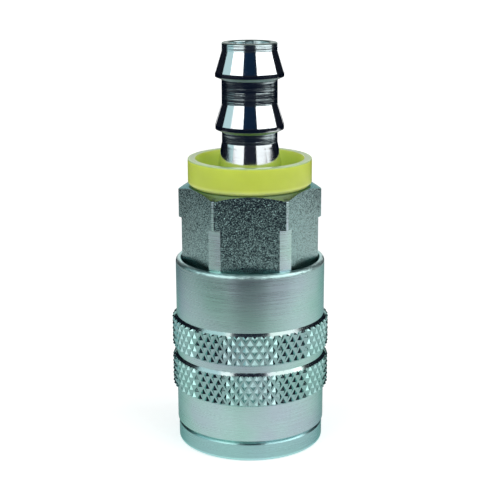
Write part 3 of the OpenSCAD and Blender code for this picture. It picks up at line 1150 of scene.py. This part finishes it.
@dataclass
class CheckValve:
    """The brass valve with four windows in its nose, and the rubber ring that it closes with."""

    nose_r: float = 3.85
    nose_wall: float = 0.95
    nose_z: float = 15.4
    neck_r: float = 3.45
    seat_z: float = 20.6
    head_z: float = 21.8
    head_top: float = 23.0
    seal_r: float = 5.3
    guide_r: float = 3.2
    guide_top: float = 26.2
    guide_bevel: float = 0.5
    window_w: float = 2.4
    window_z: float = 17.3
    window_top: float = 20.3

    def window(self, angle: float) -> bmesh.types.BMesh:
        """Gives the cutter of two opposite windows.

        Args:
            angle: Direction of the windows, in degrees.

        Returns:
            The cutter as a closed mesh.
        """
        bm = bmesh.new()
        bmesh.ops.create_cube(bm, size=1)
        reach = 2 * self.nose_r + 4 * OVERRUN
        size = Vector((reach, self.window_w, self.window_top - self.window_z))
        bmesh.ops.scale(bm, vec=size * MM, verts=bm.verts[:])
        place = (Matrix.Rotation(math.radians(angle), 4, "Z")
                 @ Matrix.Translation((0, 0, (self.window_z + self.window_top) / 2 * MM)))
        bmesh.ops.transform(bm, matrix=place, verts=bm.verts[:])
        return bm

    def build(self) -> list[bpy.types.Object]:
        """Builds the valve and its seal and seats them.

        Returns:
            The valve's body and its seal.
        """
        bore_r = self.nose_r - self.nose_wall
        blank = turned([
            Corner(0, self.window_top), Corner(bore_r, self.window_top, 0.2),
            Corner(bore_r, self.nose_z, 0.1), Corner(self.nose_r, self.nose_z, 0.3),
            Corner(self.nose_r, self.seat_z, 0.1), Corner(self.neck_r, self.seat_z),
            Corner(self.neck_r, self.head_z), Corner(self.seal_r, self.head_z, 0.1),
            Corner(self.seal_r, self.head_top, 0.15), Corner(self.guide_r, self.head_top, 0.15),
            Corner(self.guide_r, self.guide_top - self.guide_bevel, 0.1),
            Corner(self.guide_r - self.guide_bevel, self.guide_top, 0.1),
            Corner(0, self.guide_top)], HIDDEN_STEPS)
        bm = joined(blank, [self.window(0), self.window(90)], "DIFFERENCE")
        valve = made("check_valve_body", bm, [TURNED_BRASS])
        seated(valve, "valve", Slot.BRASS, "valve_poppet")
        ring = turned([
            Corner(self.neck_r, self.seat_z, 0.1), Corner(self.seal_r, self.seat_z, 0.2),
            Corner(self.seal_r, self.head_z, 0.1), Corner(self.neck_r, self.head_z, 0.05)],
            HIDDEN_STEPS)
        seal = made("check_valve_seal", ring, [SEAL_RUBBER])
        seated(seal, "valve", Slot.RUBBER, "valve_seal")
        return [valve, seal]


@dataclass
class Ring:
    """A ring of rectangular section with eased edges."""

    name: str
    node: str
    body: str
    slot: Slot
    finish: Finish
    inner: float
    outer: float
    low: float
    high: float
    ease: float = 0.12

    def build(self) -> bpy.types.Object:
        """Builds the ring, seats it and gives it."""
        bm = turned([
            Corner(self.inner, self.low, self.ease), Corner(self.outer, self.low, self.ease),
            Corner(self.outer, self.high, self.ease), Corner(self.inner, self.high, self.ease)],
            HIDDEN_STEPS)
        return seated(made(self.name, bm, [self.finish]), self.body, self.slot, self.node)


@dataclass
class PlugSeal:
    """The round-section ring that seals on the plug's tip."""

    centre_r: float = 4.85
    centre_z: float = 16.9
    section_r: float = 0.9

    def build(self) -> bpy.types.Object:
        """Builds the ring, seats it and gives it."""
        bm = bmesh.new()
        bmesh.ops.create_circle(bm, radius=self.section_r * MM, segments=32)
        place = (Matrix.Translation((self.centre_r * MM, 0, self.centre_z * MM))
                 @ Matrix.Rotation(math.radians(90), 4, "X"))
        bmesh.ops.transform(bm, matrix=place, verts=bm.verts[:])
        bmesh.ops.spin(bm, geom=bm.verts[:] + bm.edges[:], cent=(0, 0, 0), axis=(0, 0, 1),
                       dvec=(0, 0, 0), angle=math.tau, steps=HIDDEN_STEPS, use_merge=True)
        piece = made("plug_seal_ring", closed(bm), [SEAL_RUBBER])
        return seated(piece, "body", Slot.RUBBER, "plug_seal")


@dataclass
class LockingBalls:
    """The six balls that drop behind the plug's collar."""

    radius: float = 1.5875
    track_r: float = 6.5275
    height: float = 8.6
    count: int = 6

    def build(self) -> list[bpy.types.Object]:
        """Builds the balls, seats each on its own body and gives them."""
        balls = []
        for i in range(self.count):
            angle = math.tau * i / self.count
            place = Matrix.Translation(Vector((
                self.track_r * math.cos(angle), self.track_r * math.sin(angle), self.height)) * MM)
            bm = bmesh.new()
            bmesh.ops.create_uvsphere(bm, u_segments=48, v_segments=24, radius=self.radius * MM,
                                      matrix=place)
            piece = made(f"polished_ball_{i + 1}", bm, [BALL_STEEL])
            balls.append(seated(piece, f"ball_{i + 1}", Slot.BALL, f"locking_ball_{i + 1}"))
        return balls


@dataclass(frozen=True)
class SoftLamp:
    """A tall soft lamp that stands beside the coupler. Sizes are in metres.

    It lets through what stands behind it: a dark card up to the height of its backing, and
    the white room above that.
    """

    name: str
    x: float
    front: float
    back: float
    bottom: float
    top: float
    glow: float
    colour: str
    backing: float

    def build(self) -> None:
        """Stands the lamp up, facing the coupler."""
        width, height = self.back - self.front, self.top - self.bottom
        data = bpy.data.lights.new(self.name, "AREA")
        data.shape = "RECTANGLE"
        data.size = width
        data.size_y = height
        data.energy = self.glow * width * height * math.pi
        data.color = linear(self.colour)[:3]
        lamp = bpy.data.objects.new(self.name, data)
        lamp.location = (self.x, (self.front + self.back) / 2, (self.bottom + self.top) / 2)
        lamp.rotation_euler = Vector((-self.x, 0, 0)).to_track_quat("-Z", "Y").to_euler()
        lamp.visible_camera = False
        bpy.context.scene.collection.objects.link(lamp)


@dataclass
class Studio:
    """A white table with soft lamps and dark cards round it, as for polished metal.

    Each side has a long lamp in front and a short one behind it, and dark velvet fills the
    gap in front and the corners at the back. Sizes are in metres.
    """

    camera_place: tuple[float, float, float] = (0.0, -0.194487, 0.084711)
    camera_pitch: float = 75.128
    camera_roll: float = -0.142
    lens: float = 86.66
    sensor: float = 36.0
    lens_rise: float = -0.0055
    near: float = 0.01
    lamps: tuple[SoftLamp, ...] = (
        SoftLamp("left_lamp", -0.25, -0.59, -0.105, 0.062, 0.8, 1.35, "#FFFFFF", 0.14),
        SoftLamp("left_back_lamp", -0.25, -0.105, 0.05, 0.055, 0.8, 0.82, "#DDFDFF", 0.8),
        SoftLamp("right_lamp", 0.25, -0.51, -0.105, 0.062, 0.8, 1.3, "#FFFFFF", 0.14),
        SoftLamp("right_back_lamp", 0.25, -0.105, 0.05, 0.055, 0.8, 1.3, "#FFFFFF", 0.1))
    fill: float = 0.5
    table_r: float = 1.5
    table_drop: float = 0.0001
    table_glow: tuple[float, float] = (0.4, 0.8)
    glow_reach: tuple[float, float] = (0.1, 0.6)
    front: float = -0.59
    front_overlap: float = 0.04
    side: float = 0.25
    behind: float = 1.01
    lamp_back: float = 0.05
    top: float = 0.8
    far: float = 0.7
    rear_gap: float = 25.0
    blue_from: float = 0.26
    velvet_lift: float = 0.0004
    velvet_centre: tuple[float, float] = (0.045, 0.025)
    velvet_stretch: float = 0.44
    dark_from: float = 0.072
    dark_to: float = 0.165
    thin_cover: float = 0.35

    def camera(self) -> None:
        """Stands the camera where the photograph was taken from."""
        data = bpy.data.cameras.new("camera")
        data.lens = self.lens
        data.sensor_width = self.sensor
        data.shift_y = self.lens_rise
        data.clip_start = self.near
        camera = bpy.data.objects.new("camera", data)
        camera.matrix_world = (
            Matrix.Translation(self.camera_place)
            @ Matrix.Rotation(math.radians(self.camera_pitch), 4, "X")
            @ Matrix.Rotation(math.radians(self.camera_roll), 4, "Z"))
        bpy.context.scene.collection.objects.link(camera)
        bpy.context.scene.camera = camera

    def seen(self, tree: bpy.types.NodeTree) -> bpy.types.NodeSocket:
        """Finds out whether a ray shows the background itself.

        Args:
            tree: Node tree of the world or a material.

        Returns:
            A socket that is 1 for camera, glossy and transmission rays.
        """
        path = add_node(tree, "ShaderNodeLightPath").outputs
        direct = add_node(tree, "ShaderNodeMath", {
            0: path["Is Camera Ray"], 1: path["Is Glossy Ray"]}, operation="MAXIMUM")
        return add_node(tree, "ShaderNodeMath", {
            0: direct.outputs[0], 1: path["Is Transmission Ray"]}, operation="MAXIMUM").outputs[0]

    def world(self) -> None:
        """Makes the room white where it is seen, and a soft fill light elsewhere."""
        world = bpy.data.worlds.new("white_room")
        world.use_nodes = True
        tree = world.node_tree
        tree.nodes.clear()
        strength = add_node(tree, "ShaderNodeMath", {
            0: self.seen(tree), 1: 1.0 - self.fill, 2: self.fill}, operation="MULTIPLY_ADD")
        background = add_node(tree, "ShaderNodeBackground", {
            "Color": linear("#FFFFFF"), "Strength": strength.outputs[0]})
        add_node(tree, "ShaderNodeOutputWorld", {"Surface": background.outputs["Background"]})
        bpy.context.scene.world = world

    def floor(self) -> None:
        """Lays the white table that the coupler stands on.

        It keeps the coupler's shadow, and glows a little where it is seen, so that it
        passes into the white room.
        """
        bm = bmesh.new()
        bmesh.ops.create_circle(bm, cap_ends=True, radius=self.table_r, segments=64)
        bmesh.ops.translate(bm, vec=(0, 0, -self.table_drop), verts=bm.verts[:])
        material, tree, shader = blank_material("matt_white_laminate")
        glow = remapped(tree, length_of(tree, object_space(tree)), *self.glow_reach,
                        *self.table_glow)
        lift = add_node(tree, "ShaderNodeMath", {0: self.seen(tree), 1: glow},
                        operation="MULTIPLY")
        fill(tree, shader, {
            "Base Color": linear("#F2F2F2"), "Roughness": 0.9, "Specular IOR Level": 0.0,
            "Emission Color": linear("#FFFFFF"), "Emission Strength": lift.outputs[0]})
        table = placed("white_table", bm)
        table.data.materials.append(material)

    def card(self, name: str, corners: Sequence[tuple[float, float, float]],
             material: bpy.types.Material) -> None:
        """Stands a dark card that only polished metal shows.

        Args:
            name: The card's name.
            corners: The card's corners in order.
            material: The card's covering.
        """
        bm = bmesh.new()
        bm.faces.new([bm.verts.new(c) for c in corners])
        card = placed(name, bm)
        for ray in ("camera", "diffuse", "transmission", "volume_scatter", "shadow"):
            setattr(card, f"visible_{ray}", False)
        card.data.materials.append(material)

    def upright(self, name: str, foot: Sequence[tuple[float, float]],
                heights: tuple[float, float], material: bpy.types.Material) -> None:
        """Stands a card upright.

        Args:
            name: The card's name.
            foot: The two ends of its foot.
            heights: Its lower and its upper edge.
            material: The card's covering.
        """
        start, end = foot
        low, high = heights
        self.card(name, [(*start, low), (*end, low), (*end, high), (*start, high)], material)

    def level(self, name: str, front: float, height: float,
              material: bpy.types.Material) -> None:
        """Lays a card level, as far as the studio reaches.

        Args:
            name: The card's name.
            front: Its front edge.
            height: Its height.
            material: The card's covering.
        """
        self.card(name, [(x, y, height) for x, y in (
            (-self.far, front), (self.far, front), (self.far, self.far), (-self.far, self.far))],
            material)

    def velvet(self, name: str, colour: str) -> bpy.types.Material:
        """Makes a dark velvet.

        Args:
            name: The material's name.
            colour: Its colour.

        Returns:
            The new material.
        """
        material, tree, shader = blank_material(name)
        fill(tree, shader, {
            "Base Color": linear(colour), "Roughness": 1.0, "Specular IOR Level": 0.0})
        return material

    def table_velvet(self) -> bpy.types.Material:
        """Makes a velvet that thins out towards the coupler, in an oval."""
        material = self.velvet("thinning_navy_velvet", "#0C1424")
        tree = material.node_tree
        oval = add_node(tree, "ShaderNodeMapping", {
            "Vector": object_space(tree), "Scale": (self.velvet_stretch, 1.0, 1.0),
            "Location": (-self.velvet_centre[0], -self.velvet_centre[1], 0.0)})
        cover = remapped(tree, length_of(tree, oval.outputs["Vector"]), self.dark_from,
                         self.dark_to, self.thin_cover)
        fill(tree, tree.nodes["Principled BSDF"], {"Alpha": cover})
        return material

    def cards(self) -> None:
        """Sets out the cards: in front, above, at the back, behind the lamps, on the table."""
        velvet = self.velvet("navy_velvet", "#202430")
        blue = self.velvet("blue_velvet", "#102339")
        far = self.far
        foot = ((-self.side, self.front), (self.side + self.front_overlap, self.front))
        self.upright("front_low_card", foot, (0, self.blue_from), velvet)
        self.upright("front_card", foot, (self.blue_from, self.top), blue)
        self.level("ceiling_card", self.front, self.top, velvet)
        gap = far * math.tan(math.radians(self.rear_gap))
        for sign, name in ((-1, "left"), (1, "right")):
            edge = (self.behind * sign * self.side, self.lamp_back)
            corner, rear = (sign * far, far / 2), (sign * gap, far)
            self.upright(f"{name}_card", (edge, corner), (0, self.top), velvet)
            self.upright(f"{name}_rear_card", (corner, rear), (0, self.top), velvet)
        for lamp in self.lamps:
            x = self.behind * lamp.x
            self.upright(f"{lamp.name}_card", ((x, lamp.front), (x, lamp.back)),
                         (0, lamp.backing), velvet)
        self.level("table_card", -far, self.velvet_lift, self.table_velvet())

    def build(self) -> None:
        """Sets up the whole studio."""
        self.camera()
        for lamp in self.lamps:
            lamp.build()
        self.world()
        self.floor()
        self.cards()
        bpy.context.scene.view_settings.view_transform = "Standard"


def main() -> None:
    """Builds the studio and every piece of the coupler."""
    logging.basicConfig(level=logging.INFO, format="%(name)s: %(message)s")
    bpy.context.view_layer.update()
    Studio().build()
    parts = [
        HoseAdapter(),
        HoseCollar(),
        ReleaseSleeve(),
        SocketBody(),
        CoilSpring("sleeve_return_spring", "sleeve_spring", "sleeve_slide", low=14.8, high=26.0,
                   coil_r=9.82075, wire_r=0.45, turns=4.5, travel=4.0),
        CoilSpring("valve_return_spring", "valve_spring", "valve_open", low=23.0, high=38.0,
                   coil_r=4.6, wire_r=0.35, turns=7, travel=3.5),
        CheckValve(),
        PlugSeal(),
        Ring("adapter_gasket_ring", "adapter_gasket", "body", Slot.RUBBER, SEAL_RUBBER,
             inner=6.195, outer=7.495, low=33.0, high=33.8),
        Ring("spring_washer_ring", "spring_washer", "washer", Slot.STEEL, STAMPED_STEEL,
             inner=8.195, outer=11.3465, low=14.0, high=14.8),
        LockingBalls(),
    ]
    for part in parts:
        part.build()


if __name__ == "__main__":
    main()
